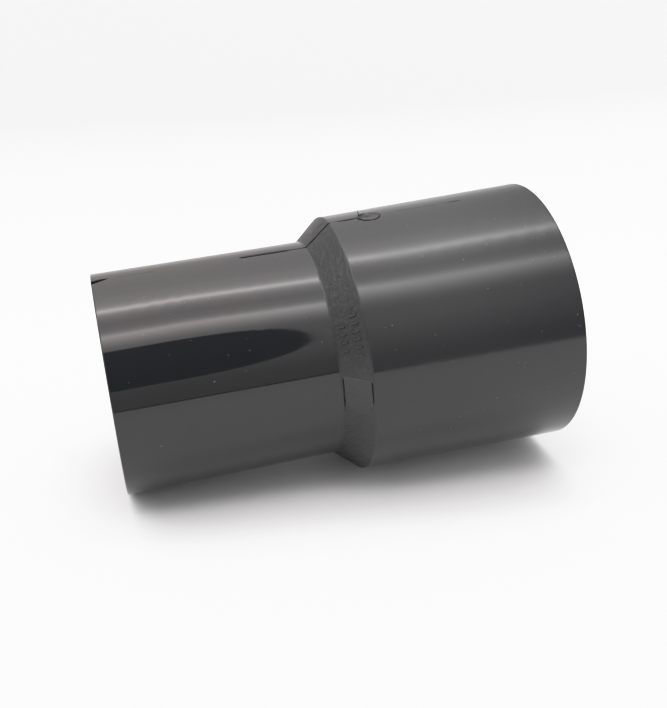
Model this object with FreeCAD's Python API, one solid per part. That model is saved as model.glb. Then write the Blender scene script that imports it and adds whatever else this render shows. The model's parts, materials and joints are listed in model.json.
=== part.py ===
import FreeCAD, Part
import math
import os

# Straight, concentric reducing socket for solvent-cement pressure pipe, one injection moulding.
#
# X is the pipe axis, from the small end to the large end. The origin is the centre of the
# large mouth, so the fitting lies along negative X. Z is up as the fitting lies on its side,
# with the mould's parting line and gate on top.
#
# The moulding is divided into the zones that a pipe fitter names. Neighbouring zones meet
# face to face and never overlap. Lengths are in millimetres and angles in degrees.

# Pipes that the sockets take.
LARGE_PIPE_D = 76.0
SMALL_PIPE_D = 60.0
LARGE_PIPE_BORE_D = 67.8
SMALL_PIPE_BORE_D = 51.8

# Sockets. The room is how much wider a socket is than its pipe, on the diameter.
LARGE_ROOM = 0.6
SMALL_ROOM = 0.8
LARGE_DEPTH = 61.0
SMALL_DEPTH = 63.0
ENTRY_CHAMFER = 0.8

# Outside of the moulding.
LARGE_LENGTH = 68.7
CONE_LENGTH = 8.0
SMALL_LENGTH = 67.7
LARGE_MOUTH_R = 43.5
SHOULDER_R = 42.2
CONE_ROOT_R = 35.3
SMALL_MOUTH_R = 35.5
RIM_ROUND = 0.5
SHOULDER_ROUND = 0.8
ROOT_ROUND = 0.8

# Waterway between the two pipe stops.
CONE_WALL = 5.5
WATERWAY_ROUND = 3.0

# Parting line, measured round the axis from +Z towards -Y.
PARTING_ANGLE = 3.5
FLASH_HEIGHT = 0.15
FLASH_WIDTH = 0.25

# Gate mark, the scar left where the plastic entered the mould.
GATE_X = -55.4
GATE_R = 3.3
GATE_HEIGHT = 0.35
GATE_DISH_DEPTH = 0.25
GATE_LAND = 0.5

# Blank marking pad on the cone, at the middle of one mould half.
PAD_WIDTH = 10.6
PAD_LENGTH = 9.6
PAD_HEIGHT = 0.12

# Two rows of plain raised bars round the cone, in place of any words.
MARK_HEIGHT = 0.22
MARK_WIDTH = 0.55
UPPER_ROW = {"along": 0.69, "length": 2.6, "angles": (57.0, 60.4, 63.8, 67.2, 70.6, 74.0)}
LOWER_ROW = {"along": 0.27, "length": 2.2, "angles": (60.5, 64.2, 67.9, 71.6)}

# Values worked out from the dimensions above.
LARGE_BORE_R = (LARGE_PIPE_D + LARGE_ROOM) / 2
SMALL_BORE_R = (SMALL_PIPE_D + SMALL_ROOM) / 2
LARGE_THROAT_R = LARGE_PIPE_BORE_D / 2
SMALL_THROAT_R = SMALL_PIPE_BORE_D / 2
SHOULDER_X = -LARGE_LENGTH
ROOT_X = SHOULDER_X - CONE_LENGTH
SMALL_MOUTH_X = ROOT_X - SMALL_LENGTH
LARGE_STOP_X = -LARGE_DEPTH
SMALL_STOP_X = SMALL_MOUTH_X + SMALL_DEPTH
CONE_ANGLE = math.degrees(math.atan2(SHOULDER_R - CONE_ROOT_R, CONE_LENGTH))
BEYOND = 5.0

AXIS_POINT = FreeCAD.Vector(0, 0, 0)
AXIS = FreeCAD.Vector(1, 0, 0)


def section_point(x, r):
    """A point of the half section, which lies in the XZ plane."""
    return FreeCAD.Vector(x, 0, r)


def outline(corners):
    """A closed face from (x, r, rounding) corners. A corner with a rounding becomes a tangent arc."""
    edges = []
    joints = []
    count = len(corners)
    for i, (x, r, rounding) in enumerate(corners):
        here = section_point(x, r)
        before = section_point(*corners[i - 1][:2]) - here
        after = section_point(*corners[(i + 1) % count][:2]) - here
        before.normalize()
        after.normalize()
        half = before.getAngle(after) / 2
        reach = rounding / math.tan(half)
        start = here + before * reach
        end = here + after * reach
        joints.append((start, end))
        if rounding > 0:
            bisector = before + after
            bisector.normalize()
            middle = here + bisector * (rounding / math.sin(half) - rounding)
            edges.append((i, Part.Arc(start, middle, end).toShape()))
    closed = []
    for i in range(count):
        closed += [edge for index, edge in edges if index == i]
        closed.append(Part.LineSegment(joints[i][1], joints[(i + 1) % count][0]).toShape())
    return Part.Face(Part.Wire(closed))


def waterway_x(r):
    """Where the inner cone, parallel to the outer one and CONE_WALL thick, has radius r."""
    slope = math.radians(CONE_ANGLE)
    return ROOT_X + CONE_WALL / math.sin(slope) + (r - CONE_ROOT_R) / math.tan(slope)


def moulding():
    """The whole wall of the fitting, without its trim, as one turned solid."""
    corners = [
        (0, LARGE_MOUTH_R, RIM_ROUND),
        (SHOULDER_X, SHOULDER_R, SHOULDER_ROUND),
        (ROOT_X, CONE_ROOT_R, ROOT_ROUND),
        (SMALL_MOUTH_X, SMALL_MOUTH_R, RIM_ROUND),
        (SMALL_MOUTH_X, SMALL_BORE_R + ENTRY_CHAMFER, 0),
        (SMALL_MOUTH_X + ENTRY_CHAMFER, SMALL_BORE_R, 0),
        (SMALL_STOP_X, SMALL_BORE_R, 0),
        (SMALL_STOP_X, SMALL_THROAT_R, 0),
        (waterway_x(SMALL_THROAT_R), SMALL_THROAT_R, WATERWAY_ROUND),
        (waterway_x(LARGE_THROAT_R), LARGE_THROAT_R, WATERWAY_ROUND),
        (LARGE_STOP_X, LARGE_THROAT_R, 0),
        (LARGE_STOP_X, LARGE_BORE_R, 0),
        (-ENTRY_CHAMFER, LARGE_BORE_R, 0),
        (0, LARGE_BORE_R + ENTRY_CHAMFER, 0),
    ]
    wall = outline(corners).revolve(AXIS_POINT, AXIS, 360)
    wall.rotate(AXIS_POINT, AXIS, PARTING_ANGLE)
    return wall


def zone(wall, low_x, high_x):
    """The length of the moulding between two planes square to the axis."""
    slab_r = LARGE_MOUTH_R + BEYOND
    slab = Part.makeCylinder(slab_r, high_x - low_x, FreeCAD.Vector(low_x, 0, 0), AXIS)
    return wall.common(slab)


def radial(angle):
    """The direction square to the axis at an angle from +Z towards -Y."""
    turn = math.radians(angle)
    return FreeCAD.Vector(0, -math.sin(turn), math.cos(turn))


def cone_block(wall, angle, along, length, width, height):
    """A raised block on the cone, seated on it all over.

    along is the share of the slant from the root to the shoulder, and length lies on the slant.
    """
    slope = math.radians(CONE_ANGLE)
    out = radial(angle)
    up_slant = AXIS * math.cos(slope) + out * math.sin(slope)
    normal = out * math.cos(slope) - AXIS * math.sin(slope)
    centre = AXIS * (ROOT_X + along * CONE_LENGTH)
    centre += out * (CONE_ROOT_R + along * (SHOULDER_R - CONE_ROOT_R))
    sunk = 1.0
    block = Part.makeBox(length, width, sunk + height)
    block.translate(FreeCAD.Vector(-length / 2, -width / 2, -sunk))
    side = normal.cross(up_slant)
    block.Placement = FreeCAD.Placement(
        FreeCAD.Matrix(
            up_slant.x, side.x, normal.x, centre.x,
            up_slant.y, side.y, normal.y, centre.y,
            up_slant.z, side.z, normal.z, centre.z,
            0, 0, 0, 1,
        )
    ).multiply(block.Placement)
    return block.cut(wall)


def marking_pad(wall):
    """The blank flat pad across the cone, a quarter turn from the parting line."""
    return cone_block(wall, PARTING_ANGLE + 90, 0.5, PAD_LENGTH, PAD_WIDTH, PAD_HEIGHT)


def raised_marks(wall):
    """Both rows of bars, each bar a separate solid."""
    bars = []
    for row in (UPPER_ROW, LOWER_ROW):
        for angle in row["angles"]:
            bars.append(cone_block(wall, angle, row["along"], row["length"], MARK_WIDTH, MARK_HEIGHT))
    return Part.Compound(bars)


def barrel_radius(x):
    """The outside radius of the large barrel at x."""
    return LARGE_MOUTH_R + (SHOULDER_R - LARGE_MOUTH_R) * x / SHOULDER_X


def gate_post():
    """A stub through the large wall where the gate was, up to the height of the scar."""
    sunk = 2.0
    out = radial(PARTING_ANGLE)
    foot = AXIS * GATE_X + out * (barrel_radius(GATE_X) - sunk)
    return Part.makeCylinder(GATE_R, sunk + GATE_HEIGHT, foot, out)


def gate_mark(wall):
    """The round scar with its raised rim and dished middle."""
    out = radial(PARTING_ANGLE)
    dish_r = GATE_R - GATE_LAND
    ball_r = (dish_r ** 2 + GATE_DISH_DEPTH ** 2) / (2 * GATE_DISH_DEPTH)
    top = barrel_radius(GATE_X) + GATE_HEIGHT
    centre = AXIS * GATE_X + out * (top - GATE_DISH_DEPTH + ball_r)
    return gate_post().cut(wall).cut(Part.makeSphere(ball_r, centre))


def parting_flash(wall):
    """The two thin fins of flash along the parting line, one each side of the axis."""
    sunk = 2.0
    outside = [
        (0, LARGE_MOUTH_R, RIM_ROUND),
        (SHOULDER_X, SHOULDER_R, SHOULDER_ROUND),
        (ROOT_X, CONE_ROOT_R, ROOT_ROUND),
        (SMALL_MOUTH_X, SMALL_MOUTH_R, RIM_ROUND),
    ]
    crest = [(x, r + FLASH_HEIGHT, rounding) for x, r, rounding in outside]
    foot = [(x, r - sunk, 0) for x, r, _ in reversed(outside)]
    sweep = math.degrees(FLASH_WIDTH / SHOULDER_R)
    fins = []
    for side in (0, 180):
        fin = outline(crest + foot).revolve(AXIS_POINT, AXIS, sweep)
        fin.rotate(AXIS_POINT, AXIS, PARTING_ANGLE + side - sweep / 2)
        fins += fin.cut(wall).cut(gate_post()).Solids
    return Part.Compound(fins)


def parts():
    """Every node of the fitting by name."""
    wall = moulding()
    shoulder_edge = SHOULDER_X + SHOULDER_ROUND / 2
    root_edge = ROOT_X - ROOT_ROUND / 2
    return {
        "large_socket": zone(wall, LARGE_STOP_X, 0),
        "large_stop_collar": zone(wall, shoulder_edge, LARGE_STOP_X),
        "reducing_cone": zone(wall, root_edge, shoulder_edge),
        "small_stop_collar": zone(wall, SMALL_STOP_X, root_edge),
        "small_socket": zone(wall, SMALL_MOUTH_X, SMALL_STOP_X),
        "marking_pad": marking_pad(wall),
        "raised_marks": raised_marks(wall),
        "gate_mark": gate_mark(wall),
        "parting_flash": parting_flash(wall),
    }


def main():
    os.makedirs("parts", exist_ok=True)
    for name, shape in parts().items():
        if not shape.isValid():
            raise SystemExit(f"{name} isn't a valid shape")
        shape.exportStep(f"parts/{name}.step")
        print(f"{name}: {len(shape.Solids)} solid(s), {shape.Volume / 1000:.3f} cm3")


main()
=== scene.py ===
import json
import math

import bmesh
import bpy
import numpy as np
from mathutils import Matrix, Vector, noise


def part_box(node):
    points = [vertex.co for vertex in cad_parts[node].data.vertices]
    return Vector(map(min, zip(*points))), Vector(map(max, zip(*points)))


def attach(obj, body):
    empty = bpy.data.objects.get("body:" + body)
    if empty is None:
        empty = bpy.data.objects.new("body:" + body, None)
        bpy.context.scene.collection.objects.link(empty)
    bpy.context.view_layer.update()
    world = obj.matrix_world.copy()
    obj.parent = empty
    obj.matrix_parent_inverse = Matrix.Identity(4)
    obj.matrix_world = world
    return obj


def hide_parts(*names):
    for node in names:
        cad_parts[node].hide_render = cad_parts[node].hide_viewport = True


# Looks of a straight reducing pipe socket, one dark grey PVC moulding lying on its side.
#
# Places round the pipe axis are angles from +Z towards -Y, in degrees. Lengths are written in
# millimetres and multiplied by MM where a mesh is made, because the frame is in metres.

MM = 0.001

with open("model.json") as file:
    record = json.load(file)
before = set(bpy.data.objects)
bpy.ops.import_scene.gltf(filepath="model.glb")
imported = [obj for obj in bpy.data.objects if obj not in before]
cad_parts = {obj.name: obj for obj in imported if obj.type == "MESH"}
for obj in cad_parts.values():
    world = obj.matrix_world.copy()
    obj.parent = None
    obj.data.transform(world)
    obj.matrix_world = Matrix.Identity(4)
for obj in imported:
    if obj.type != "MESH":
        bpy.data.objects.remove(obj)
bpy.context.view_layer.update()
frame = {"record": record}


def edge_mm(node, side, axis):
    """A face of a CAD node's box, in millimetres. side is 0 for the lower one and 1 for the upper."""
    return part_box(node)[side][axis] / MM


def mount_radius(name):
    """The radius of a bore mount, in millimetres."""
    mounts = {m["name"]: m for m in frame["record"]["mounts"]}
    return mounts[name]["dims"]["r_mm"]


# Stations along X, read from the frame. The cone's node reaches EDGE_BLEND past its root and shoulder.
LARGE_MOUTH_X = edge_mm("large_socket", 1, 0)
LARGE_STOP_X = edge_mm("large_socket", 0, 0)
CONE_TOP_X = edge_mm("reducing_cone", 1, 0)
CONE_FOOT_X = edge_mm("reducing_cone", 0, 0)
SMALL_STOP_X = edge_mm("small_socket", 1, 0)
SMALL_MOUTH_X = edge_mm("small_socket", 0, 0)
EDGE_BLEND = 0.4
SHOULDER_X = CONE_TOP_X - EDGE_BLEND
ROOT_X = CONE_FOOT_X + EDGE_BLEND

# Radii. Those of the shoulder, the root and the waterway repeat the CAD's.
LARGE_MOUTH_R = edge_mm("large_socket", 1, 2)
LARGE_BORE_R = mount_radius("large_socket")
SMALL_BORE_R = mount_radius("small_socket")
SHOULDER_R = 42.2
ROOT_R = 35.3
SMALL_MOUTH_R = edge_mm("small_socket", 1, 2)
LARGE_THROAT_R = 33.9
SMALL_THROAT_R = 25.9

# Roundings of the moulding, and the degrees between points on one.
ARC_STEP = 5.0
RIM_ROUND = 0.5
CONE_ROUND = 0.8
WATERWAY_ROUND = 3.0
ENTRY_CHAMFER = 0.8
# Width of the flat end face that the outer line takes in, and the wall of the cone.
END_FACE = 2.4
CONE_WALL = 5.5
CONE_SLOPE = math.atan2(SHOULDER_R - ROOT_R, SHOULDER_X - ROOT_X)

# The upper parting line, and the gate scar that lies on it.
PARTING_ANGLE = 3.5
GATE_X = -55.4
GATE_R = 3.5


# ------------------------ outlines


def rounded(corners, spacing):
    """An open line of (x, r) points through (x, r, rounding) corners, with no gap over spacing."""
    line = []
    for i, (x, r, rounding) in enumerate(corners):
        here = np.array([x, r])
        if rounding == 0 or i in (0, len(corners) - 1):
            line.append(here)
            continue
        before = np.array(corners[i - 1][:2]) - here
        after = np.array(corners[i + 1][:2]) - here
        before = before / np.linalg.norm(before)
        after = after / np.linalg.norm(after)
        inward = (before + after) / np.linalg.norm(before + after)
        half = math.acos(float(np.clip(before @ after, -1, 1))) / 2
        centre = here + inward * rounding / math.sin(half)
        start = here + before * rounding / math.tan(half) - centre
        finish = here + after * rounding / math.tan(half) - centre
        turn = math.pi - 2 * half
        way = math.copysign(1, start[0] * finish[1] - start[1] * finish[0])
        steps = max(3, math.ceil(math.degrees(turn) / ARC_STEP))
        for step in range(steps + 1):
            angle = way * turn * step / steps
            cos = math.cos(angle)
            sin = math.sin(angle)
            line.append(centre + (start[0] * cos - start[1] * sin, start[0] * sin + start[1] * cos))
    dense = [line[0]]
    for a, b in zip(line, line[1:]):
        count = max(1, math.ceil(np.linalg.norm(b - a) / spacing))
        dense += [a + (b - a) * k / count for k in range(1, count + 1)]
    return np.array(dense)


def refined(line, start_x, end_x, spacing):
    """The same line with points close together between two stations."""
    extra = np.arange(start_x, end_x, spacing)
    ordered = line[np.argsort(line[:, 0], kind="stable")]
    between = np.stack([extra, np.interp(extra, ordered[:, 0], ordered[:, 1])], -1)
    first = int(np.searchsorted(line[:, 0], start_x))
    last = int(np.searchsorted(line[:, 0], end_x))
    return np.vstack([line[:first], between, line[last:]])


def outside_r(x):
    """The plain outside radius at x, without the roundings."""
    stations = [SMALL_MOUTH_X, ROOT_X, SHOULDER_X, LARGE_MOUTH_X]
    return float(np.interp(x, stations, [SMALL_MOUTH_R, ROOT_R, SHOULDER_R, LARGE_MOUTH_R]))


def waterway_x(r):
    """Where the inner cone, parallel to the outer one, has radius r."""
    return ROOT_X + CONE_WALL / math.sin(CONE_SLOPE) + (r - ROOT_R) / math.tan(CONE_SLOPE)


def waterway_r(x):
    """The radius of the inner cone at x."""
    return ROOT_R + (x - ROOT_X - CONE_WALL / math.sin(CONE_SLOPE)) * math.tan(CONE_SLOPE)


def angle_grid(step, fine_zones):
    """Angles round the axis: one every step degrees, and closer within each (start, end, step) zone."""
    angles = list(np.arange(-180 + step / 2, 180, step))
    for start, end, fine in fine_zones:
        angles = [a for a in angles if not start - fine < a < end + fine]
        angles += list(np.arange(start, end + fine / 2, fine))
    return np.array(sorted(angles))


# ------------------------ surface relief


def fade(value, low, high):
    """0 below low, 1 above high, and smooth between them."""
    t = np.clip((value - low) / (high - low), 0, 1)
    return t * t * (3 - 2 * t)


# Half the floor of a slot, as a share of its width.
SLOT_FLOOR = 0.32


def slot(across, width):
    """The section of a slot: 1 on its floor and 0 outside it, with steep sides."""
    return 1 - fade(np.abs(across), SLOT_FLOOR * width, 0.5 * width)


def dash(x, start, end, taper):
    """1 between two places, fading to 0 at both ends."""
    return fade(x, start, start + taper) * (1 - fade(x, end - taper, end))


def off_parting(angle, line_angle):
    """Degrees from a parting line, from -180 to 180."""
    return (angle - line_angle + 180) % 360 - 180


# Open stretches of the parting lines: start and end along X, width, depth and length of the ends.
TOP_GAPS = (
    (-98.5, -82.0, 1.5, 0.6, 1.6),
    (-88.0, -75.6, 0.75, 0.3, 3.0),
    (-140.5, -121.0, 0.5, 0.11, 6.0),
    (-78.0, -68.1, 0.9, 0.6, 0.7),
    (-66.6, -58.0, 1.0, 0.5, 3.0),
    (-50.5, -28.0, 0.36, 0.05, 5.0),
    (-30.5, -22.5, 0.6, 0.13, 2.4),
    (-25.0, -2.0, 0.4, 0.09, 5.0),
)
BOTTOM_GAPS = (
    (-128.0, -92.0, 0.5, 0.18, 12.0),
    (-78.2, -67.9, 0.8, 0.5, 0.8),
    (-60.0, -31.0, 0.45, 0.16, 9.0),
)
# How wide an open stretch is at its very ends, as a share of its width.
GAP_END_WIDTH = 0.35
# Where the upper parting line is closed so well that it hardly shows.
CLOSED_STRETCH = (-139.0, -97.0, 3.0)
SEAM_DEPTH = 0.02
SEAM_WIDTH = 0.34
# Height of the step between the mould halves, and half the width that it takes.
HALVES_STEP = 0.018
HALVES_BLEND = 0.25


def parting_relief(x, angle, radius):
    """The mismatch of the two mould halves, the fine line between them, and its open stretches."""
    relief = np.zeros_like(x)
    for line_angle, gaps, way in ((PARTING_ANGLE, TOP_GAPS, 1), (PARTING_ANGLE - 180, BOTTOM_GAPS, -1)):
        across = np.radians(off_parting(angle, line_angle)) * radius
        near = np.abs(across) < radius
        shown = 1 - dash(x, *CLOSED_STRETCH) * (way > 0)
        step = 0.5 - fade(across, -HALVES_BLEND, HALVES_BLEND)
        relief += np.where(near, shown * way * HALVES_STEP * step, 0)
        relief -= shown * SEAM_DEPTH * slot(across, SEAM_WIDTH)
        for start, end, width, depth, taper in gaps:
            open_share = dash(x, start, end, taper)
            open_width = width * (GAP_END_WIDTH + (1 - GAP_END_WIDTH) * open_share)
            relief -= open_share * depth * slot(across, open_width)
    return relief


# The nick in the small mouth, where the front edge of the parting line has broken away. Its length and
# depth are in millimetres, and the rest are degrees round the barrel, but for the two powers. Its back
# wall starts NICK_WALL_START before NICK_BACK_ANGLE, and is NICK_WALL_LEAN further on at the mouth.
NICK_LENGTH = 5.2
NICK_DEPTH = 2.1
NICK_BACK_ANGLE = 3.0
NICK_MOUTH_ANGLE = 7.4
NICK_WALL_START = 0.15
NICK_WALL_LEAN = 1.1
NICK_WALL_WIDTH = 0.22
NICK_EDGE_INSIDE = 0.5
NICK_EDGE_OUTSIDE = 0.25
NICK_FRONT_POWER = 0.8
NICK_FLOOR_POWER = 0.7


def nick_relief(x, angle):
    """The wedge-shaped nick, widest and deepest at the mouth, with a steep back wall."""
    left = 1 - np.clip((x - SMALL_MOUTH_X) / NICK_LENGTH, 0, 1)
    front = NICK_BACK_ANGLE + (NICK_MOUTH_ANGLE - NICK_BACK_ANGLE) * left ** NICK_FRONT_POWER
    back = NICK_BACK_ANGLE - NICK_WALL_START + NICK_WALL_LEAN * left ** 2
    behind_wall = fade(angle, back, back + NICK_WALL_WIDTH)
    before_edge = 1 - fade(angle, front - NICK_EDGE_INSIDE, front + NICK_EDGE_OUTSIDE)
    return -NICK_DEPTH * left ** NICK_FLOOR_POWER * behind_wall * before_edge


# Polish waves: the bands of angle that have them, as start, end and length of the ends, and for each
# barrel their height, their pitch along X and how far round the barrel one wave leans.
WAVE_BANDS = ((12.0, 47.0, 13.0), (-170.0, -12.0, 20.0))
SMALL_WAVES = (0.02, 5.2, 9.0)
LARGE_WAVES = (0.01, 6.6, 13.0)
# A slow beat makes the waves uneven in height, and a wobble makes them uneven in pitch.
BEAT_SHARE = 0.25
BEAT_AROUND = 9.0
BEAT_ALONG = 7.0
WOBBLE = 0.9
WOBBLE_LENGTH = 6.3
# The waves keep clear of both rims. On the small barrel they reach their full height WAVES_FULL from
# the mouth, and die out over WAVES_STOP before the cone.
RIM_CLEAR = 2.0
WAVES_FULL = 34.0
WAVES_STOP = 8.0


def polish_waves(x, angle, radius, height, pitch, lean):
    """Slanting waves left by hand polishing of the mould, in bands along the barrel."""
    around = np.radians(angle) * radius
    band = sum(dash(angle, *wave_band) for wave_band in WAVE_BANDS)
    beat = 1 - BEAT_SHARE + BEAT_SHARE * np.sin(around / BEAT_AROUND + x / BEAT_ALONG)
    wobble = WOBBLE * np.sin(x / WOBBLE_LENGTH)
    return height * band * beat * np.sin(2 * math.pi * (x / pitch + around / lean) + wobble)


def small_relief(x, angle):
    """Everything raised or sunk on the small barrel."""
    waves = polish_waves(x, angle, SMALL_MOUTH_R, *SMALL_WAVES)
    grown = fade(x, SMALL_MOUTH_X + RIM_CLEAR, SMALL_MOUTH_X + WAVES_FULL)
    inland = grown * (1 - fade(x, ROOT_X - WAVES_STOP, ROOT_X))
    return waves * inland + parting_relief(x, angle, SMALL_MOUTH_R) + nick_relief(x, angle)


# The pocket that the gate scar sits in, and the shallower moat just outside the scar.
POCKET_DEPTH = 0.8
POCKET_EDGE = (GATE_R - 0.9, GATE_R - 0.3)
MOAT_DEPTH = 0.3
MOAT_EDGE = (GATE_R + 0.05, GATE_R + 0.4)


def gate_pocket(x, angle):
    """The pocket and moat of the gate scar, sunk in the large barrel."""
    around = np.radians(off_parting(angle, PARTING_ANGLE)) * LARGE_MOUTH_R
    distance = np.hypot(x - GATE_X, around)
    pocket = POCKET_DEPTH * (1 - fade(distance, *POCKET_EDGE))
    moat = MOAT_DEPTH * (1 - fade(distance, *MOAT_EDGE))
    return -np.maximum(pocket, moat)


def large_relief(x, angle):
    """Everything raised or sunk on the large barrel."""
    waves = polish_waves(x, angle, LARGE_MOUTH_R, *LARGE_WAVES)
    inland = fade(LARGE_MOUTH_X - x, 0, RIM_CLEAR)
    return waves * inland + parting_relief(x, angle, LARGE_MOUTH_R) + gate_pocket(x, angle)


# The blank pad across the cone, and the slots along its left and right edges.
PAD_TOP_ANGLE = 84.6
PAD_BOTTOM_ANGLE = 102.4
PAD_LEFT_X = ROOT_X + 0.35
PAD_RIGHT_X = SHOULDER_X - 0.35
PAD_SLOT_WIDTH = 0.36
PAD_SLOT_DEPTH = 0.34
PAD_LEFT_SLOT = (PAD_TOP_ANGLE, PAD_BOTTOM_ANGLE - 2, 0.9)
PAD_RIGHT_SLOT = (PAD_TOP_ANGLE + 0.8, PAD_BOTTOM_ANGLE - 7, 0.9)

# The texture of the cone covers TEXTURED_X but not PAD_ANGLES, and its pits deepen over PITTED_ANGLES.
TEXTURED_X = (ROOT_X - 0.2, SHOULDER_X + 0.2, 0.7)
PAD_ANGLES = (PAD_TOP_ANGLE - 1, PAD_BOTTOM_ANGLE + 1, 1.5)
PITTED_ANGLES = (PAD_BOTTOM_ANGLE - 1, PAD_BOTTOM_ANGLE + 3)

# Directions across and along the wrinkles, each as its parts along X and round the cone, and how fine
# the coarse and the fine wrinkles are in each direction.
ACROSS_WRINKLES = (1.3, 0.75)
ALONG_WRINKLES = (0.45, -0.55)
COARSE_PITCH = (1.15, 0.8)
FINE_PITCH = (2.2, 1.9)
LEATHER_HEIGHT = 0.14
FINE_WRINKLES = 0.6
# Pits are a noise over a level. Above the pad they are only PITS_ABOVE_PAD as deep.
PIT_DEPTH = 0.05
PIT_PITCH = 1.7
PIT_LEVELS = (0.12, 0.5)
PITS_ABOVE_PAD = 0.25


def noise_at(u, v, layer):
    """Smooth noise at each pair of places. Each layer is a pattern of its own."""
    made = np.zeros_like(u)
    for i in np.ndindex(u.shape):
        made[i] = noise.noise(Vector((u[i], v[i], layer)))
    return made


def leather(x, around):
    """The slanting wrinkles of the spark-eroded mould face."""
    across = x * ACROSS_WRINKLES[0] + around * ACROSS_WRINKLES[1]
    along = x * ALONG_WRINKLES[0] + around * ALONG_WRINKLES[1]
    coarse = noise_at(across * COARSE_PITCH[0], along * COARSE_PITCH[1], layer=0.5)
    fine = noise_at(across * FINE_PITCH[0], along * FINE_PITCH[1], layer=4.0)
    return coarse + FINE_WRINKLES * fine


def pits(x, around):
    """Small round pits, from 0 to 1."""
    return fade(noise_at(x * PIT_PITCH, around * PIT_PITCH, layer=9.0), *PIT_LEVELS)


def cone_relief(x, angle):
    """Everything raised or sunk on the cone: wrinkles, pits, parting line and the pad's slots."""
    radius = (SHOULDER_R + ROOT_R) / 2
    around = np.radians(angle) * radius
    pitted = PITS_ABOVE_PAD + (1 - PITS_ABOVE_PAD) * fade(angle, *PITTED_ANGLES)
    relief = LEATHER_HEIGHT * leather(x, around)
    relief -= PIT_DEPTH * pits(x, around) * pitted
    relief *= dash(x, *TEXTURED_X) * (1 - dash(angle, *PAD_ANGLES))
    for slot_x, stretch in ((PAD_LEFT_X, PAD_LEFT_SLOT), (PAD_RIGHT_X, PAD_RIGHT_SLOT)):
        relief -= PAD_SLOT_DEPTH * slot(x - slot_x, PAD_SLOT_WIDTH) * dash(angle, *stretch)
    return relief + parting_relief(x, angle, radius)


# ------------------------ meshes


# Edges that turn by more than this many degrees stay crisp.
CRISP_EDGE = 33


def shade(mesh):
    """Smooth shading, with the crisp edges kept."""
    limit = math.radians(CRISP_EDGE)
    work = bmesh.new()
    work.from_mesh(mesh)
    bmesh.ops.recalc_face_normals(work, faces=work.faces)
    for face in work.faces:
        face.smooth = True
    for edge in work.edges:
        edge.smooth = len(edge.link_faces) == 2 and edge.calc_face_angle() < limit
    work.to_mesh(mesh)
    work.free()


def piece(name, points_mm, faces, finish, node):
    """A finished piece of the object, riding on the one body and standing for its CAD node."""
    material, slot_name = finish
    mesh = bpy.data.meshes.new(name)
    mesh.from_pydata((np.asarray(points_mm) * MM).tolist(), [], faces)
    mesh.validate()
    shade(mesh)
    mesh.materials.append(material)
    obj = bpy.data.objects.new(name, mesh)
    bpy.context.scene.collection.objects.link(obj)
    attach(obj, "root")
    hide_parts(node)


def turned(x, r, angle):
    """Points at a station, a radius and an angle, as rows of x, y, z."""
    turn = np.radians(angle)
    return np.stack([x, -r * np.sin(turn), r * np.cos(turn)], -1)


def grid_faces(rows, columns):
    """Quads of a grid whose rows and columns both close on themselves."""
    faces = []
    for i in range(rows):
        for j in range(columns):
            a = i * columns + j
            b = i * columns + (j + 1) % columns
            c = (i + 1) % rows * columns + (j + 1) % columns
            d = (i + 1) % rows * columns + j
            faces.append((a, b, c, d))
    return faces


def wall(name, outer, inner, angles, relief, finish, node):
    """A closed turned wall between an outer and an inner line. Only the outer one has relief."""
    section = np.vstack([outer, inner[::-1]])
    x, angle = np.meshgrid(section[:, 0], angles, indexing="ij")
    r = np.repeat(section[:, 1:], len(angles), axis=1)
    sculpted = np.arange(len(section)) < len(outer)
    r[sculpted] += relief(x[sculpted], angle[sculpted])
    points = turned(x, r, angle).reshape(-1, 3)
    piece(name, points, grid_faces(len(section), len(angles)), finish, node)


# ------------------------ materials


class Nodes:
    """Short calls for building one node tree."""

    def __init__(self, tree):
        self.tree = tree
        self.tree.nodes.clear()

    def add(self, kind, inputs=(), **settings):
        """A node. Each input is a value, or a socket to link to."""
        node = self.tree.nodes.new(kind)
        for key, value in settings.items():
            setattr(node, key, value)
        for key, value in dict(inputs).items():
            if isinstance(value, bpy.types.NodeSocket):
                self.tree.links.new(value, node.inputs[key])
            else:
                node.inputs[key].default_value = value
        return node

    def math(self, operation, a, b, clamp=False):
        """One sum of two values."""
        return self.add("ShaderNodeMath", {0: a, 1: b}, operation=operation, use_clamp=clamp).outputs[0]

    def between(self, value, low, high):
        """0 below low, 1 above high, and straight between them."""
        return self.math("DIVIDE", self.math("SUBTRACT", value, low), high - low, True)

    def ramp(self, value, stops):
        """A colour ramp. Each stop is a place and a grey."""
        node = self.add("ShaderNodeValToRGB", {0: value})
        elements = node.color_ramp.elements
        while len(elements) < len(stops):
            elements.new(0.5)
        for element, (place, grey) in zip(elements, stops):
            element.position = place
            element.color = (grey, grey, grey, 1)
        return node.outputs[0]

    def blend(self, share, a, b):
        """Colour a where share is 0, and colour b where it is 1."""
        # Inputs 6 and 7 and output 2 are the colours of a mix node.
        node = self.add("ShaderNodeMix", {"Factor": share}, data_type="RGBA")
        for socket, value in ((node.inputs[6], a), (node.inputs[7], b)):
            if isinstance(value, bpy.types.NodeSocket):
                self.tree.links.new(value, socket)
            else:
                socket.default_value = (*value, 1)
        return node.outputs[2]

    def noise(self, place, size_mm, detail):
        """Noise whose features are about size_mm across."""
        inputs = {"Vector": place, "Scale": 1 / (size_mm * MM), "Detail": detail}
        return self.add("ShaderNodeTexNoise", inputs).outputs[0]

    def bump(self, height, height_mm, under=None):
        """A bump as high as height_mm where height is 1, on top of the bump under it."""
        inputs = {"Height": height, "Distance": height_mm * MM, "Strength": 1.0}
        if under is not None:
            inputs["Normal"] = under
        return self.add("ShaderNodeBump", inputs).outputs[0]


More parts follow.
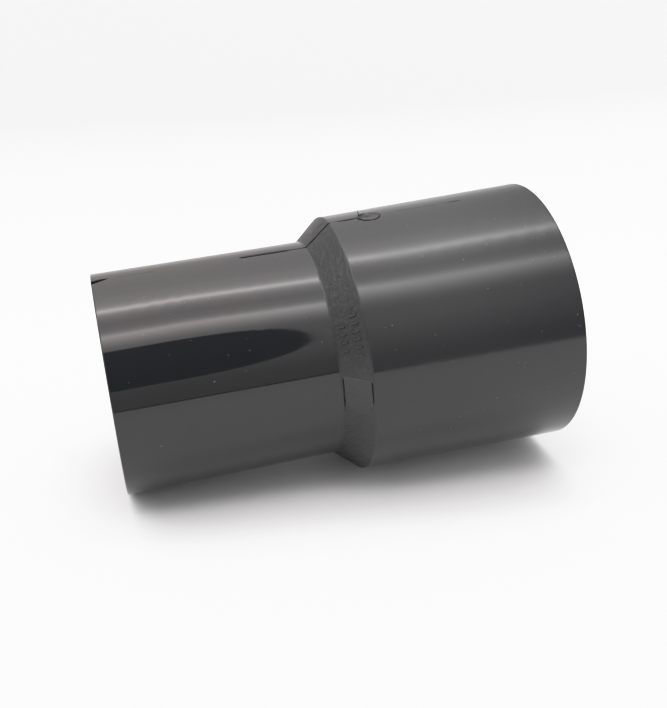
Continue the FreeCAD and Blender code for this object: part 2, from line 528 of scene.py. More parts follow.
# Specks of dust, and of lint, which is a little larger and much fainter: size of a cell in millimetres,
# radius of the smallest speck as a share of it, and how many cells hold lint and how pale it is, as
# shares of the same for dust.
DUST_CELL = 3.4
DUST_RADIUS = 0.025
LINT_CELL = 2.1
LINT_RADIUS = 0.045
LINT_SHARE = 0.5
LINT_PALENESS = 0.4
# How much wider than the smallest speck the largest one is, as a share of the smallest.
SPECK_SPREAD = 1.4
# Colour of a speck, and how much rougher it is than the plastic.
DUST_SHADE = (0.10, 0.102, 0.104)
DUST_ROUGHER = 0.35


def specks_of(nodes, place, cell_mm, keep, radius):
    """Round specks, 1 on a speck and 0 off it. About keep of the cells hold one."""
    cells = nodes.add("ShaderNodeTexVoronoi", {"Vector": place, "Scale": 1 / (cell_mm * MM)})
    pick = nodes.add("ShaderNodeSeparateColor", {0: cells.outputs["Color"]})
    wider = nodes.math("MULTIPLY", pick.outputs["Green"], SPECK_SPREAD * radius)
    size = nodes.math("ADD", wider, radius)
    inside = nodes.math("LESS_THAN", cells.outputs["Distance"], size)
    chosen = nodes.math("LESS_THAN", pick.outputs["Red"], keep)
    return nodes.math("MULTIPLY", inside, chosen)


# The bore is duller than the outside, and its colour is painted lighter as painted light in it. The
# gloss ends at GLOSS_R from the axis on the small side and GLOSS_R_STEP further out on the large side,
# and is lost over GLOSS_FADE. These are metres.
GLOSS_R = 0.035
GLOSS_R_STEP = 0.0068
GLOSS_FADE = 0.002
BORE_ROUGHER = 0.3
BORE_PAINTED_LIGHT = (0.036, 0.037, 0.039)


def inside_share(nodes, place):
    """1 on the bore and the waterway, and 0 on the outside."""
    parts = nodes.add("ShaderNodeSeparateXYZ", {0: place}).outputs
    flat = nodes.add("ShaderNodeCombineXYZ", {0: 0.0, 1: parts["Y"], 2: parts["Z"]}).outputs[0]
    radius = nodes.add("ShaderNodeVectorMath", {0: flat}, operation="LENGTH").outputs["Value"]
    up_cone = nodes.between(parts["X"], ROOT_X * MM, SHOULDER_X * MM)
    limit = nodes.math("ADD", nodes.math("MULTIPLY", up_cone, GLOSS_R_STEP), GLOSS_R)
    return nodes.between(nodes.math("SUBTRACT", limit, radius), 0.0, GLOSS_FADE)


PVC_IOR = 1.5
# Size in millimetres and detail of two noises: one mottles the colour, and one smears the gloss.
MOTTLE = (14.0, 3.0)
MOTTLE_HEIGHT = 0.012
SMEAR = (4.5, 4.0)
SMEAR_LEVELS = (0.35, 0.75)
GRAIN_DETAIL = 3.0
# How much rougher the large barrel is than the small one, and the metres along X where that comes in.
LARGE_END_ROUGHER = 0.09
LARGE_END_X = (-0.09, -0.05)


def pvc(name, dark, light, rough_low, rough_high, grain_mm, grain_height, dust_share):
    """Dark grey PVC with dust and lint on it, and a duller bore painted lighter as painted light, as a
    material and its slot's name.
    """
    material = bpy.data.materials.new(name)
    material.use_nodes = True
    nodes = Nodes(material.node_tree)
    place = nodes.add("ShaderNodeTexCoord").outputs["Object"]
    mottle = nodes.noise(place, *MOTTLE)
    smear = nodes.noise(place, *SMEAR)
    grain = nodes.noise(place, grain_mm, GRAIN_DETAIL)
    dust = specks_of(nodes, place, DUST_CELL, dust_share, DUST_RADIUS)
    lint = specks_of(nodes, place, LINT_CELL, dust_share * LINT_SHARE, LINT_RADIUS)
    specks = nodes.math("MAXIMUM", dust, nodes.math("MULTIPLY", lint, LINT_PALENESS))
    station = nodes.add("ShaderNodeSeparateXYZ", {0: place}).outputs["X"]
    large_end = nodes.between(station, *LARGE_END_X)
    inside = inside_share(nodes, place)

    colour = nodes.blend(mottle, dark, light)
    colour = nodes.blend(specks, colour, DUST_SHADE)
    # Painted light: the bore's colour is blended lighter, standing in for light that reaches into it.
    colour = nodes.blend(inside, colour, BORE_PAINTED_LIGHT)

    smeared = nodes.between(smear, *SMEAR_LEVELS)
    rough = nodes.math("ADD", nodes.math("MULTIPLY", smeared, rough_high - rough_low), rough_low)
    rough = nodes.math("ADD", rough, nodes.math("MULTIPLY", specks, DUST_ROUGHER))
    rough = nodes.math("ADD", rough, nodes.math("MULTIPLY", large_end, LARGE_END_ROUGHER))
    rough = nodes.math("ADD", rough, nodes.math("MULTIPLY", inside, BORE_ROUGHER))

    normal = nodes.bump(grain, grain_height)
    normal = nodes.bump(mottle, MOTTLE_HEIGHT, normal)
    shader = nodes.add(
        "ShaderNodeBsdfPrincipled",
        {"Base Color": colour, "Roughness": rough, "Normal": normal, "IOR": PVC_IOR},
    )
    nodes.add("ShaderNodeOutputMaterial", {"Surface": shader.outputs[0]})
    return material, name


# The floor's two shades, and the size in millimetres and detail of the noise between them.
FLOOR_SHADE_LOW = (0.6, 0.6, 0.603)
FLOOR_SHADE_HIGH = (0.62, 0.62, 0.622)
FLOOR_TONE = (180.0, 1.0)
# How bright the floor is painted far behind the fitting, as painted shade where the light falls off,
# and the metres along Y where it gets there.
FLOOR_FAR_PAINTED_SHADE = 0.66
FLOOR_FAR_Y = (0.125, 0.75)


def pale_floor():
    """Smooth white board, very slightly uneven in tone, and painted darker far behind the fitting as
    painted shade.
    """
    material = bpy.data.materials.new("pale_board")
    material.use_nodes = True
    nodes = Nodes(material.node_tree)
    place = nodes.add("ShaderNodeTexCoord").outputs["Object"]
    near = nodes.blend(nodes.noise(place, *FLOOR_TONE), FLOOR_SHADE_LOW, FLOOR_SHADE_HIGH)
    # Painted shade: the board's colour darkens far behind the fitting, where the light falls off.
    far = tuple(FLOOR_FAR_PAINTED_SHADE * value for value in FLOOR_SHADE_LOW)
    depth = nodes.add("ShaderNodeSeparateXYZ", {0: place}).outputs["Y"]
    colour = nodes.blend(nodes.between(depth, *FLOOR_FAR_Y), near, far)
    shader = nodes.add("ShaderNodeBsdfDiffuse", {"Color": colour})
    nodes.add("ShaderNodeOutputMaterial", {"Surface": shader.outputs[0]})
    return material


CARD_SHADE = (0.004, 0.004, 0.005)


def black_card():
    """Matt black card."""
    material = bpy.data.materials.new("black_card")
    material.use_nodes = True
    nodes = Nodes(material.node_tree)
    shader = nodes.add("ShaderNodeBsdfDiffuse", {"Color": (*CARD_SHADE, 1)})
    nodes.add("ShaderNodeOutputMaterial", {"Surface": shader.outputs[0]})
    return material


polished = pvc(
    "polished_pvc",
    dark=(0.0095, 0.0102, 0.0115),
    light=(0.0115, 0.0122, 0.0135),
    rough_low=0.04,
    rough_high=0.07,
    grain_mm=1.1,
    grain_height=0.0005,
    dust_share=0.5,
)
textured = pvc(
    "textured_pvc",
    dark=(0.012, 0.012, 0.0125),
    light=(0.017, 0.017, 0.0175),
    rough_low=0.34,
    rough_high=0.46,
    grain_mm=0.34,
    grain_height=0.035,
    dust_share=0.15,
)
satin = pvc(
    "satin_pvc",
    dark=(0.012, 0.012, 0.0125),
    light=(0.016, 0.016, 0.0165),
    rough_low=0.17,
    rough_high=0.28,
    grain_mm=0.5,
    grain_height=0.004,
    dust_share=0.1,
)


# ------------------------ walls of the fitting

# Degrees between the columns of points on the barrels and on the cone.
BARREL_STEP = 1.2
CONE_STEP = 0.42
# Where the columns are closer: start, end and step. The lower parting line is at -176.5.
SEAM_ZONE_TOP = (PARTING_ANGLE - 1.2, PARTING_ANGLE + 1.2, 0.12)
SEAM_ZONE_BOTTOM = (-178.0, -175.2, 0.14)
GATE_ZONE = (PARTING_ANGLE - 5.7, PARTING_ANGLE + 5.7, 0.3)
# Where the rings of points are closer along X, for the gate: start, end and spacing.
GATE_STATIONS = (GATE_X - GATE_R - 0.8, GATE_X + GATE_R + 0.8, 0.22)
NICK_ZONE = (PARTING_ANGLE - 1.2, NICK_MOUTH_ANGLE + 0.6, 0.12)


def barrel_line(start_x, end_x, spacing):
    """A straight stretch of the outside between two stations."""
    return rounded([(start_x, outside_r(start_x), 0), (end_x, outside_r(end_x), 0)], spacing)


def large_socket():
    """Barrel and bore of the large socket."""
    mouth_r = LARGE_BORE_R + ENTRY_CHAMFER
    outer = rounded(
        [
            (LARGE_STOP_X, outside_r(LARGE_STOP_X), 0),
            (LARGE_MOUTH_X, LARGE_MOUTH_R, RIM_ROUND),
            (LARGE_MOUTH_X, mouth_r + END_FACE, 0),
        ],
        spacing=0.9,
    )
    outer = refined(outer, *GATE_STATIONS)
    inner = rounded(
        [
            (LARGE_STOP_X, LARGE_BORE_R, 0),
            (LARGE_MOUTH_X - ENTRY_CHAMFER, LARGE_BORE_R, 0),
            (LARGE_MOUTH_X, mouth_r, 0),
        ],
        spacing=6,
    )
    angles = angle_grid(BARREL_STEP, (GATE_ZONE, SEAM_ZONE_TOP, SEAM_ZONE_BOTTOM))
    wall("large_socket_wall", outer, inner, angles, large_relief, polished, "large_socket")


def large_stop_collar():
    """Thick ring between the large pipe stop and the cone."""
    outer = barrel_line(CONE_TOP_X, LARGE_STOP_X, spacing=0.7)
    inner = rounded([(CONE_TOP_X, LARGE_THROAT_R, 0), (LARGE_STOP_X, LARGE_THROAT_R, 0)], spacing=4)
    angles = angle_grid(BARREL_STEP, (SEAM_ZONE_TOP, SEAM_ZONE_BOTTOM))
    wall("large_stop_ring", outer, inner, angles, large_relief, polished, "large_stop_collar")


def reducing_cone():
    """The textured cone band and the tapered waterway inside it."""
    outer = rounded(
        [
            (CONE_FOOT_X, outside_r(CONE_FOOT_X), 0),
            (ROOT_X, ROOT_R, CONE_ROUND),
            (SHOULDER_X, SHOULDER_R, CONE_ROUND),
            (CONE_TOP_X, outside_r(CONE_TOP_X), 0),
        ],
        spacing=0.2,
    )
    inner = rounded(
        [
            (CONE_FOOT_X, waterway_r(CONE_FOOT_X), 0),
            (waterway_x(LARGE_THROAT_R), LARGE_THROAT_R, WATERWAY_ROUND),
            (CONE_TOP_X, LARGE_THROAT_R, 0),
        ],
        spacing=3,
    )
    angles = angle_grid(CONE_STEP, (SEAM_ZONE_TOP, SEAM_ZONE_BOTTOM))
    wall("cone_wall", outer, inner, angles, cone_relief, textured, "reducing_cone")


def small_stop_collar():
    """Thick ring between the cone and the small pipe stop."""
    outer = barrel_line(SMALL_STOP_X, CONE_FOOT_X, spacing=0.7)
    inner = rounded(
        [
            (SMALL_STOP_X, SMALL_THROAT_R, 0),
            (waterway_x(SMALL_THROAT_R), SMALL_THROAT_R, WATERWAY_ROUND),
            (CONE_FOOT_X, waterway_r(CONE_FOOT_X), 0),
        ],
        spacing=3,
    )
    angles = angle_grid(BARREL_STEP, (NICK_ZONE, SEAM_ZONE_BOTTOM))
    wall("small_stop_ring", outer, inner, angles, small_relief, polished, "small_stop_collar")


def small_socket():
    """Barrel and bore of the small socket."""
    mouth_r = SMALL_BORE_R + ENTRY_CHAMFER
    outer = rounded(
        [
            (SMALL_MOUTH_X, mouth_r + END_FACE, 0),
            (SMALL_MOUTH_X, SMALL_MOUTH_R, RIM_ROUND),
            (SMALL_STOP_X, outside_r(SMALL_STOP_X), 0),
        ],
        spacing=0.8,
    )
    inner = rounded(
        [
            (SMALL_MOUTH_X, mouth_r, 0),
            (SMALL_MOUTH_X + ENTRY_CHAMFER, SMALL_BORE_R, 0),
            (SMALL_STOP_X, SMALL_BORE_R, 0),
        ],
        spacing=6,
    )
    angles = angle_grid(BARREL_STEP, (NICK_ZONE, SEAM_ZONE_BOTTOM))
    wall("small_socket_wall", outer, inner, angles, small_relief, polished, "small_socket")


# ------------------------ trim


def cone_frame(angle, along):
    """Centre, up-slant, side and outward directions on the cone. along runs from 0 at the root to 1."""
    turn = math.radians(angle)
    out = np.array([0, -math.sin(turn), math.cos(turn)])
    axis = np.array([1.0, 0, 0])
    up_slant = axis * math.cos(CONE_SLOPE) + out * math.sin(CONE_SLOPE)
    normal = out * math.cos(CONE_SLOPE) - axis * math.sin(CONE_SLOPE)
    side = np.cross(normal, up_slant)
    x = ROOT_X + along * (SHOULDER_X - ROOT_X)
    r = ROOT_R + along * (SHOULDER_R - ROOT_R)
    return axis * x + out * r, up_slant, side, normal


# How far a block reaches below its own foot, into the face that it stands on.
BLOCK_ROOT = 0.4


def pillow(length, width, height, edge, columns, rows):
    """A closed low block whose top is rounded over edge from its sides, as points and faces."""
    points = []
    for i in range(columns + 1):
        for j in range(rows + 1):
            u = i / columns * 2 - 1
            v = j / rows * 2 - 1
            du = max(0, abs(u) * length / 2 - (length / 2 - edge)) / edge
            dv = max(0, abs(v) * width / 2 - (width / 2 - edge)) / edge
            fall = min(1, math.hypot(du, dv))
            points.append((u * length / 2, v * width / 2, height * math.sqrt(max(0, 1 - fall ** 2))))
    points += [(x, y, -BLOCK_ROOT) for x, y, _ in points]
    faces = []
    under = (columns + 1) * (rows + 1)
    for i in range(columns):
        for j in range(rows):
            a = i * (rows + 1) + j
            b = a + 1
            c = a + rows + 2
            d = a + rows + 1
            faces.append((a, b, c, d))
            faces.append((under + d, under + c, under + b, under + a))
    border = list(range(rows + 1))
    border += [i * (rows + 1) + rows for i in range(1, columns + 1)]
    border += [columns * (rows + 1) + j for j in range(rows - 1, -1, -1)]
    border += [i * (rows + 1) for i in range(columns - 1, 0, -1)]
    for k, a in enumerate(border):
        b = border[(k + 1) % len(border)]
        faces.append((b, a, under + a, under + b))
    return np.array(points), faces


def on_cone(points, angle, along, follow_curve):
    """Places a block's own points on the cone. follow_curve bends it round the axis."""
    centre, up_slant, side, normal = cone_frame(angle, along)
    if not follow_curve:
        return centre + points[:, :1] * up_slant + points[:, 1:2] * side + points[:, 2:] * normal
    placed = []
    for u, v, w in points:
        share = along + u * math.cos(CONE_SLOPE) / (SHOULDER_X - ROOT_X)
        radius = ROOT_R + share * (SHOULDER_R - ROOT_R)
        spot, _, _, away = cone_frame(angle - math.degrees(v / radius), share)
        placed.append(spot + away * w)
    return np.array(placed)


PAD_HEIGHT = 0.12
PAD_EDGE = 0.16
# How much shorter the pad is than the distance between its slots, on the slant.
PAD_SHORTER = 0.5


def marking_pad():
    """The blank pad across the cone, a little smoother than the face round it."""
    length = (PAD_RIGHT_X - PAD_LEFT_X) / math.cos(CONE_SLOPE) - PAD_SHORTER
    middle = (PAD_TOP_ANGLE + PAD_BOTTOM_ANGLE) / 2
    width = math.radians(PAD_BOTTOM_ANGLE - PAD_TOP_ANGLE) * (ROOT_R + SHOULDER_R) / 2
    points, faces = pillow(length, width, PAD_HEIGHT, PAD_EDGE, columns=60, rows=90)
    placed = on_cone(points, middle, along=0.5, follow_curve=True)
    piece("blank_pad", placed, faces, satin, "marking_pad")


# The bars. Each row is so far up the cone, and has its first bar and its step in degrees.
BAR_WIDTH = 0.62
BAR_HEIGHT = 0.32
BAR_EDGE = 0.2
BAR_ROWS = (
    {"along": 0.69, "length": 2.6, "first": 57.0, "step": 3.4, "count": 6},
    {"along": 0.27, "length": 2.2, "first": 60.5, "step": 3.7, "count": 4},
)


def raised_marks():
    """Two rows of plain raised bars with rounded tops."""
    all_points = []
    all_faces = []
    count = 0
    for row in BAR_ROWS:
        for k in range(row["count"]):
            points, faces = pillow(row["length"], BAR_WIDTH, BAR_HEIGHT, BAR_EDGE, columns=20, rows=8)
            angle = row["first"] + row["step"] * k
            all_points.append(on_cone(points, angle, row["along"], follow_curve=False))
            all_faces += [tuple(count + v for v in face) for face in faces]
            count += len(points)
    piece("raised_bars", np.vstack(all_points), all_faces, satin, "raised_marks")


# The gate scar: a torn rim round a dish. Places across it are shares of GATE_R from its middle.
GATE_RIM = 0.3
GATE_RIM_AT = 0.91
GATE_RIM_WIDTH = 0.075
GATE_DISH = 0.22
# A fold across the dish climbs towards the front and drops off, on a dish that is tilted up to the
# front. The front of both is turned by GATE_TURN, in radians.
GATE_TURN = 0.3
GATE_FOLD = 0.2
FOLD_START = -0.35
FOLD_TOP = 0.15
FOLD_END = 0.5
GATE_TILT = 0.08
GATE_TILT_FADE = (0.6, 0.95)
# How oval the scar is and how far that is turned, and its root in the wall.
GATE_OVAL = 0.05
GATE_OVAL_TURN = 0.6
GATE_ROOT = 1.2
GATE_ROOT_WIDER = 1.01

# The whisker: its foot from the middle of the scar along X and round the barrel, its root in the wall,
# its height, its radius at the foot, what share of that it loses, how many times wider it is round the
# barrel, and how far it leans.
WHISKER_ALONG = -0.84 * GATE_R
WHISKER_AROUND = -1.2
WHISKER_ROOT = 0.4
WHISKER_HEIGHT = 2.1
WHISKER_R = 0.2
WHISKER_TAPER = 0.75
WHISKER_WIDER = 1.5
WHISKER_LEAN_ALONG = 0.28
WHISKER_LEAN_AROUND = 0.35


def gate_height(ring, turn):
    """Height of the gate scar over the barrel. ring is 0 at its centre and 1 at its edge."""
    rim = GATE_RIM * math.exp(-((ring - GATE_RIM_AT) / GATE_RIM_WIDTH) ** 2)
    dish = -GATE_DISH * (1 - ring ** 2)
    forward = ring * math.sin(turn + GATE_TURN)
    climb = min(1, max(0, (forward - FOLD_START) / (FOLD_TOP - FOLD_START)))
    crest = climb * (1 - float(fade(forward, FOLD_TOP, FOLD_END)))
    fold = GATE_FOLD * crest * (1 - ring ** 3)
    tilt = GATE_TILT * forward * GATE_R * (1 - float(fade(ring, *GATE_TILT_FADE)))
    return dish + rim + (fold + tilt)


def gate_scar():
    """The round scar of the injection gate with its torn rim, and the whisker of plastic beside it."""
    rings = 22
    spokes = 72
    out = turned(0.0, 1.0, PARTING_ANGLE)
    around = turned(0.0, 1.0, PARTING_ANGLE + 90)
    axis = np.array([1.0, 0, 0])
    foot = axis * GATE_X
    base = outside_r(GATE_X)
    turns = [2 * math.pi * s / spokes for s in range(spokes)]
    points = [foot + out * (base + gate_height(0, 0))]
    for k in range(1, rings + 1):
        ring = k / rings
        for turn in turns:
            reach = GATE_R * ring * (1 + GATE_OVAL * ring * math.sin(2 * turn + GATE_OVAL_TURN))
            u = reach * math.cos(turn)
            v = reach * math.sin(turn)
            height = base - v * v / (2 * base) + gate_height(ring, turn)
            points.append(foot + axis * u + around * v + out * height)
    for turn in turns:
        u = GATE_R * GATE_ROOT_WIDER * math.cos(turn)
        v = GATE_R * GATE_ROOT_WIDER * math.sin(turn)
        points.append(foot + axis * u + around * v + out * (base - GATE_ROOT))
    points.append(foot + out * (base - GATE_ROOT))
    faces = [(0, 1 + s, 1 + (s + 1) % spokes) for s in range(spokes)]
    for k in range(rings):
        for s in range(spokes):
            a = 1 + k * spokes + s
            b = 1 + k * spokes + (s + 1) % spokes
            faces.append((a, a + spokes, b + spokes, b))
    bottom = 1 + rings * spokes
    centre = len(points) - 1
    faces += [(centre, bottom + (s + 1) % spokes, bottom + s) for s in range(spokes)]
    whisker_foot = foot + axis * WHISKER_ALONG + around * WHISKER_AROUND
    whisker_points, whisker_faces = whisker(whisker_foot, base, out, around, axis)
    faces += [tuple(len(points) + v for v in face) for face in whisker_faces]
    all_points = np.vstack([points, whisker_points])
    piece("gate_scar", all_points, faces, satin, "gate_mark")


def tube_faces(rings, sides):
    """Faces of a tube made of rings of points, with both ends capped."""
    faces = []
    for k in range(rings - 1):
        for s in range(sides):
            a = k * sides + s
            b = k * sides + (s + 1) % sides
            faces.append((a, b, b + sides, a + sides))
    faces.append(tuple(range(sides)))
    faces.append(tuple((rings - 1) * sides + s for s in reversed(range(sides))))
    return faces


def whisker(foot, base, out, around, axis):
    """A thin tapering hair of plastic that stands up and leans over."""
    levels = 14
    sides = 10
    points = []
    for k in range(levels + 1):
        t = k / levels
        middle = foot + out * (base - WHISKER_ROOT + (WHISKER_HEIGHT + WHISKER_ROOT) * t)
        middle = middle - axis * WHISKER_LEAN_ALONG * t ** 2 - around * WHISKER_LEAN_AROUND * t ** 1.5
        radius = WHISKER_R * (1 - WHISKER_TAPER * t ** 2)
        for s in range(sides):
            turn = 2 * math.pi * s / sides
            along_part = axis * radius * math.cos(turn)
            around_part = around * WHISKER_WIDER * radius * math.sin(turn)
            points.append(middle + along_part + around_part)
    return np.array(points), tube_faces(levels + 1, sides)


# The flash: half its width, how deep the middle of its section is sunk and how far its root reaches
# below that, how far to one side of the parting line it runs and how much that wanders, its least
# height, and its ripple.
FLASH_HALF_WIDTH = 0.09
FLASH_SUNK = 0.1
FLASH_ROOT = 0.3
FLASH_ASIDE = 0.28
FLASH_WANDER = 0.03
FLASH_LOW = 0.012
FLASH_RIPPLE = 0.012
# Radians for each millimetre along X, of the ripple, of what makes it uneven, and of the wander.
RIPPLE_RATE = 0.9
UNEVEN_RATE = 0.21
WANDER_RATE = 0.55
# How far from the small and the large mouth the flash ends.
FLASH_FROM_SMALL = 6.0
FLASH_FROM_LARGE = 0.6
# The upper flash sinks away in the closed stretch and stands higher beside the gate.
FLASH_CLOSED_DROP = 0.09
FLASH_GATE_RISE = 0.05
FLASH_GATE_STRETCH = (-78.0, -58.5, 1.5)


def flash_height(x, lower):
    """How far the flash stands proud at x, in millimetres."""
    ripple = 0.5 + 0.5 * math.sin(x * RIPPLE_RATE + 2 * math.sin(x * UNEVEN_RATE))
    height = FLASH_LOW + FLASH_RIPPLE * ripple
    if lower:
        return 2 * height
    height -= FLASH_CLOSED_DROP * float(dash(x, *CLOSED_STRETCH))
    return height + FLASH_GATE_RISE * float(dash(x, *FLASH_GATE_STRETCH))


def flash_line(line_angle, lower):
    """One thin rounded ridge of flash along the outside, as points and faces."""
    start_x = SMALL_MOUTH_X + FLASH_FROM_SMALL
    end_x = LARGE_MOUTH_X - FLASH_FROM_LARGE
    line = rounded(
        [
            (start_x, outside_r(start_x), 0),
            (ROOT_X, ROOT_R, CONE_ROUND),
            (SHOULDER_X, SHOULDER_R, CONE_ROUND),
            (end_x, outside_r(end_x), 0),
        ],
        spacing=0.8,
    )
    sides = 8
    points = []
    for x, r in line:
        shift = math.degrees((FLASH_ASIDE + FLASH_WANDER * math.sin(x * WANDER_RATE)) / r)
        height = flash_height(x, lower)
        for s in range(sides):
            turn = 2 * math.pi * s / sides
            up = math.sin(turn)
            rise = (height + FLASH_SUNK) * up if up > 0 else FLASH_ROOT * up
            angle = line_angle - shift + math.degrees(FLASH_HALF_WIDTH * math.cos(turn) / r)
            points.append(turned(x, r - FLASH_SUNK + rise, angle))
    return np.array(points), tube_faces(len(line), sides)


def parting_flash():
    """The flash along both parting lines."""
    top, top_faces = flash_line(PARTING_ANGLE, lower=False)
    low, low_faces = flash_line(PARTING_ANGLE - 180, lower=True)
    faces = top_faces + [tuple(len(top) + v for v in face) for face in low_faces]
    piece("flash_lines", np.vstack([top, low]), faces, satin, "parting_flash")


large_socket()
large_stop_collar()
reducing_cone()
small_stop_collar()
small_socket()
marking_pad()
raised_marks()
gate_scar()
parting_flash()


# ------------------------ floor, light and camera

# The fitting leans on the bottom of its small rim and the bottom of its shoulder. The floor slopes with
# it, stays FLOOR_GAP clear of it, and levels out about FLOOR_LEVELS_OUT to either side.
FLOOR_SLOPE = (SHOULDER_R - SMALL_MOUTH_R) / (SHOULDER_X - SMALL_MOUTH_X)
FLOOR_GAP = 0.06
FLOOR_LEVELS_OUT = 500.0
FLOOR_FRONT_Y = -420.0
FLOOR_BACK_Y = 6000.0
FLOOR_HALF_WIDTH = 4000.0


def floor_z(x):
    """Height of the floor at x. It is level far from the fitting."""
    away = FLOOR_LEVELS_OUT * math.tanh((x - SHOULDER_X) / FLOOR_LEVELS_OUT)
    return -SHOULDER_R - FLOOR_GAP - FLOOR_SLOPE * away


def stage_mesh(name, points_mm, faces, material):
    """A stage object, which isn't part of the fitting."""
    mesh = bpy.data.meshes.new(name)
    mesh.from_pydata((np.asarray(points_mm) * MM).tolist(), [], faces)
    for polygon in mesh.polygons:
        polygon.use_smooth = True
    mesh.materials.append(material)
    obj = bpy.data.objects.new(name, mesh)
    bpy.context.scene.collection.objects.link(obj)
    return obj


def strip_faces(columns):
    """Quads of a strip whose points come in pairs."""
    return [(2 * k, 2 * k + 2, 2 * k + 3, 2 * k + 1) for k in range(columns)]


def floor():
    """The pale board, with a straight front edge."""
    columns = 120
    points = []
    for k in range(columns + 1):
        x = FLOOR_HALF_WIDTH * (2 * k / columns - 1)
        points.append((x, FLOOR_FRONT_Y, floor_z(x)))
        points.append((x, FLOOR_BACK_Y, floor_z(x)))
    stage_mesh("floor_board", points, strip_faces(columns), pale_floor())


BATTEN_HEIGHT = 7.5
BATTEN_HALF_LENGTH = 1200.0


def front_batten():
    """A thin dark batten along the floor's front edge, seen only as a line in the gloss."""
    columns = 60
    points = []
    for k in range(columns + 1):
        x = BATTEN_HALF_LENGTH * (2 * k / columns - 1)
        points.append((x, FLOOR_FRONT_Y, floor_z(x)))
        points.append((x, FLOOR_FRONT_Y, floor_z(x) + BATTEN_HEIGHT))
    batten = stage_mesh("front_batten", points, strip_faces(columns), black_card())
    batten.visible_camera = False


# The card's right end is CARD_ROUND long. A squareness of 2 would make that end an ellipse.
CARD_Y = -470.0
CARD_TIP_X = 22.0
CARD_LEFT_X = -420.0
CARD_LOW_Z = 126.0
CARD_HIGH_Z = 641.0
CARD_ROUND = 120.0
CARD_SQUARENESS = 2.4


def front_card():
    """A black card in front, round at its right end, that gives the small barrel its dark tongue."""
    steps = 60
    middle = (CARD_LOW_Z + CARD_HIGH_Z) / 2
    half = (CARD_HIGH_Z - CARD_LOW_Z) / 2
    points = [(CARD_LEFT_X, CARD_Y, CARD_LOW_Z)]
    for k in range(steps + 1):
        rise = math.sin(math.pi * (k / steps - 0.5))
        bulge = (1 - abs(rise) ** CARD_SQUARENESS) ** (1 / CARD_SQUARENESS)
        points.append((CARD_TIP_X - CARD_ROUND * (1 - bulge), CARD_Y, middle + half * rise))
    points.append((CARD_LEFT_X, CARD_Y, CARD_HIGH_Z))
    card = stage_mesh("front_card", points, [tuple(range(len(points)))], black_card())
    card.visible_camera = False


# Brightness of the studio round the X axis: degrees over the front horizon, and radiance.
LIGHT_ARCH = (
    (0, 0.45), (10, 0.5), (27, 0.86), (40, 1.15), (50, 1.2), (54, 1.45), (58, 2.0), (62, 3.0),
    (66, 4.4), (70, 5.9), (73, 3.5), (76, 2.5), (80, 2.15), (84, 2.0), (88, 2.3), (92, 2.8),
    (96, 4.2), (100, 8.4), (104, 4.4), (108, 3.2), (113, 2.7), (121, 2.1), (131, 1.62),
    (142, 1.25), (152, 0.98), (162, 0.78), (172, 0.85), (180, 0.95),
)
LIGHT_PEAK = 8.4
LIGHT_LEVEL = 1.1
# The X part of a direction, with how bright the arch is there.
LIGHT_ENDS = (
    (-1.0, 0.28), (-0.6, 0.58), (-0.3, 0.75), (-0.08, 1.0),
    (0.3, 1.0), (0.38, 0.76), (0.52, 0.36), (0.75, 0.12), (1.0, 0.12),
)
# The arch leans to the front by this many degrees as the X part of a direction goes through LEAN_X.
LIGHT_LEAN = 6.0
LEAN_X = (0.08, 0.26)
WARM_LIGHT = (1.0, 0.935, 0.915)
PLAIN_LIGHT = (1.0, 0.98, 0.98)
# The X part of a direction, with how plain the light is there.
PLAIN_ENDS = ((-0.24, 1), (-0.08, 0), (0.1, 0), (0.28, 1))
# What the camera sees past the floor. It is darker behind, to match the floor's painted shade, and the
# Y part of a direction says where.
SKY_SEEN = (1.6, 1.6, 1.595)
SKY_FAR_Y = (0.03, 0.19)
# Lights that fill the shadow. Name, energy, and degrees from +Y towards -X and above the horizon.
FILL_LIGHTS = (
    ("fill_left", 2.1, 128.0, 32.0),
    ("fill_right", 2.1, 226.0, 32.0),
    ("fill_back", 1.2, 0.0, 55.0),
)
FILL_SPREAD = 110.0


def studio():
    """One soft arch of light over the fitting, with two brighter strips near its top."""
    world = bpy.data.worlds.new("studio")
    world.use_nodes = True
    nodes = Nodes(world.node_tree)
    way = nodes.add("ShaderNodeTexCoord").outputs["Generated"]
    parts = nodes.add("ShaderNodeSeparateXYZ", {0: way}).outputs
    front = nodes.math("MULTIPLY", parts["Y"], -1.0)
    arch = nodes.math("ARCTAN2", parts["Z"], front)
    lean = nodes.math("MULTIPLY", nodes.between(parts["X"], *LEAN_X), math.radians(LIGHT_LEAN))
    place = nodes.math("DIVIDE", nodes.math("ADD", arch, lean), math.pi)
    stops = [(angle / 180, radiance / LIGHT_PEAK) for angle, radiance in LIGHT_ARCH]
    arch_light = nodes.ramp(place, stops)
    halved = nodes.math("ADD", nodes.math("MULTIPLY", parts["X"], 0.5), 0.5)
    ends = nodes.ramp(halved, [(0.5 + x / 2, factor) for x, factor in LIGHT_ENDS])
    plain = nodes.ramp(halved, [(0.5 + x / 2, share) for x, share in PLAIN_ENDS])
    tint = nodes.blend(plain, WARM_LIGHT, PLAIN_LIGHT)
    shape = nodes.math("MULTIPLY", arch_light, ends)
    strength = nodes.math("MULTIPLY", shape, LIGHT_LEVEL * LIGHT_PEAK)
    light = nodes.add("ShaderNodeBackground", {"Color": tint, "Strength": strength})
    behind = nodes.between(parts["Y"], *SKY_FAR_Y)
    level = nodes.math("ADD", nodes.math("MULTIPLY", behind, FLOOR_FAR_PAINTED_SHADE - 1), 1.0)
    seen = nodes.add("ShaderNodeBackground", {"Color": (*SKY_SEEN, 1), "Strength": level})
    to_camera = nodes.add("ShaderNodeLightPath").outputs["Is Camera Ray"]
    both = nodes.add("ShaderNodeMixShader", {0: to_camera, 1: light.outputs[0], 2: seen.outputs[0]})
    nodes.add("ShaderNodeOutputWorld", {"Surface": both.outputs[0]})
    bpy.context.scene.world = world


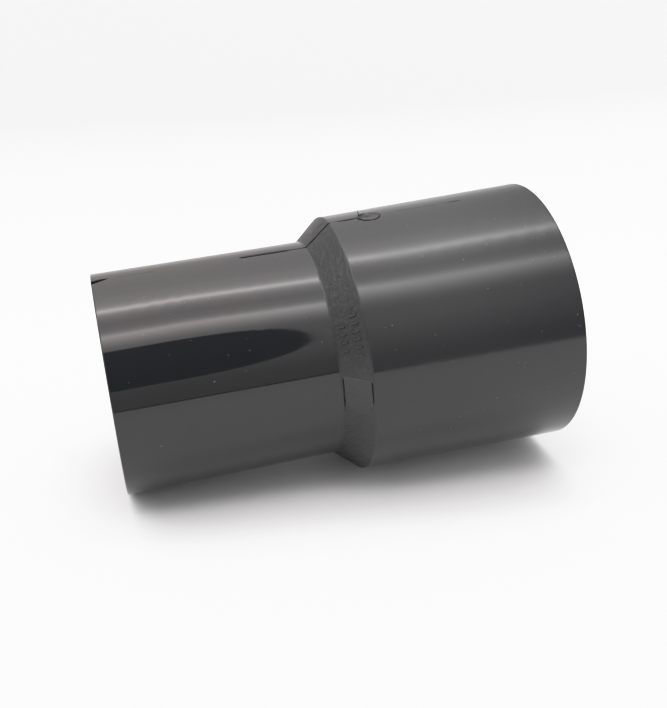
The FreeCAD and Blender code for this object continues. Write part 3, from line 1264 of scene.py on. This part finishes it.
def fill_lights():
    """Very wide soft lights that brighten the floor, and are kept out of the gloss."""
    for name, energy, azimuth, height in FILL_LIGHTS:
        data = bpy.data.lights.new(name, "SUN")
        data.energy = energy
        data.angle = math.radians(FILL_SPREAD)
        lamp = bpy.data.objects.new(name, data)
        bpy.context.scene.collection.objects.link(lamp)
        turn = math.radians(azimuth)
        lift = math.radians(height)
        level = math.cos(lift)
        towards = Vector((-math.sin(turn) * level, math.cos(turn) * level, math.sin(lift)))
        lamp.rotation_euler = towards.to_track_quat("Z", "Y").to_euler()
        lamp.visible_glossy = False


# The camera's place is in millimetres.
CAMERA_AT = Vector((-139.9, -307.3, 131.3))
CAMERA_LENS = 52.0
CAMERA_SENSOR = 36.0
CAMERA_SHIFT_Y = -0.0706
CAMERA_FORWARD = Vector((0.21094, 0.91302, -0.34913))
CAMERA_UP = Vector((0.16753, 0.31811, 0.93313))


def camera():
    """The camera, a little above the fitting and in front of its small end."""
    data = bpy.data.cameras.new("camera")
    data.sensor_width = CAMERA_SENSOR
    data.lens = CAMERA_LENS
    data.shift_y = CAMERA_SHIFT_Y
    data.clip_start = 0.01
    data.clip_end = 20.0
    obj = bpy.data.objects.new("camera", data)
    bpy.context.scene.collection.objects.link(obj)
    right = CAMERA_FORWARD.cross(CAMERA_UP).normalized()
    up = right.cross(CAMERA_FORWARD).normalized()
    back = -CAMERA_FORWARD.normalized()
    turn = Matrix((right, up, back)).transposed().to_4x4()
    obj.matrix_world = Matrix.Translation(CAMERA_AT * MM) @ turn
    bpy.context.scene.camera = obj


# Scene light and what it shows as. It is left alone up to 0.6, and bright light is rolled off softly.
TONE_POINTS = ((0.6, 0.6), (0.78, 0.765), (0.95, 0.865), (1.12, 0.93), (1.28, 0.962), (1.8, 0.987))
TONE_WHITE = 3.0


def tone_curve():
    """Standard colours, with a soft shoulder for the pale floor and the brightest gloss."""
    view = bpy.context.scene.view_settings
    view.view_transform = "Standard"
    view.use_curve_mapping = True
    mapping = view.curve_mapping
    mapping.white_level = (TONE_WHITE, TONE_WHITE, TONE_WHITE)
    # The fourth curve is the one for all three colours.
    curve = mapping.curves[3]
    for light, shown in TONE_POINTS:
        curve.points.new(light / TONE_WHITE, shown)
    for point in curve.points:
        point.handle_type = "VECTOR"
    mapping.update()


floor()
front_batten()
front_card()
studio()
fill_lights()
camera()
tone_curve()
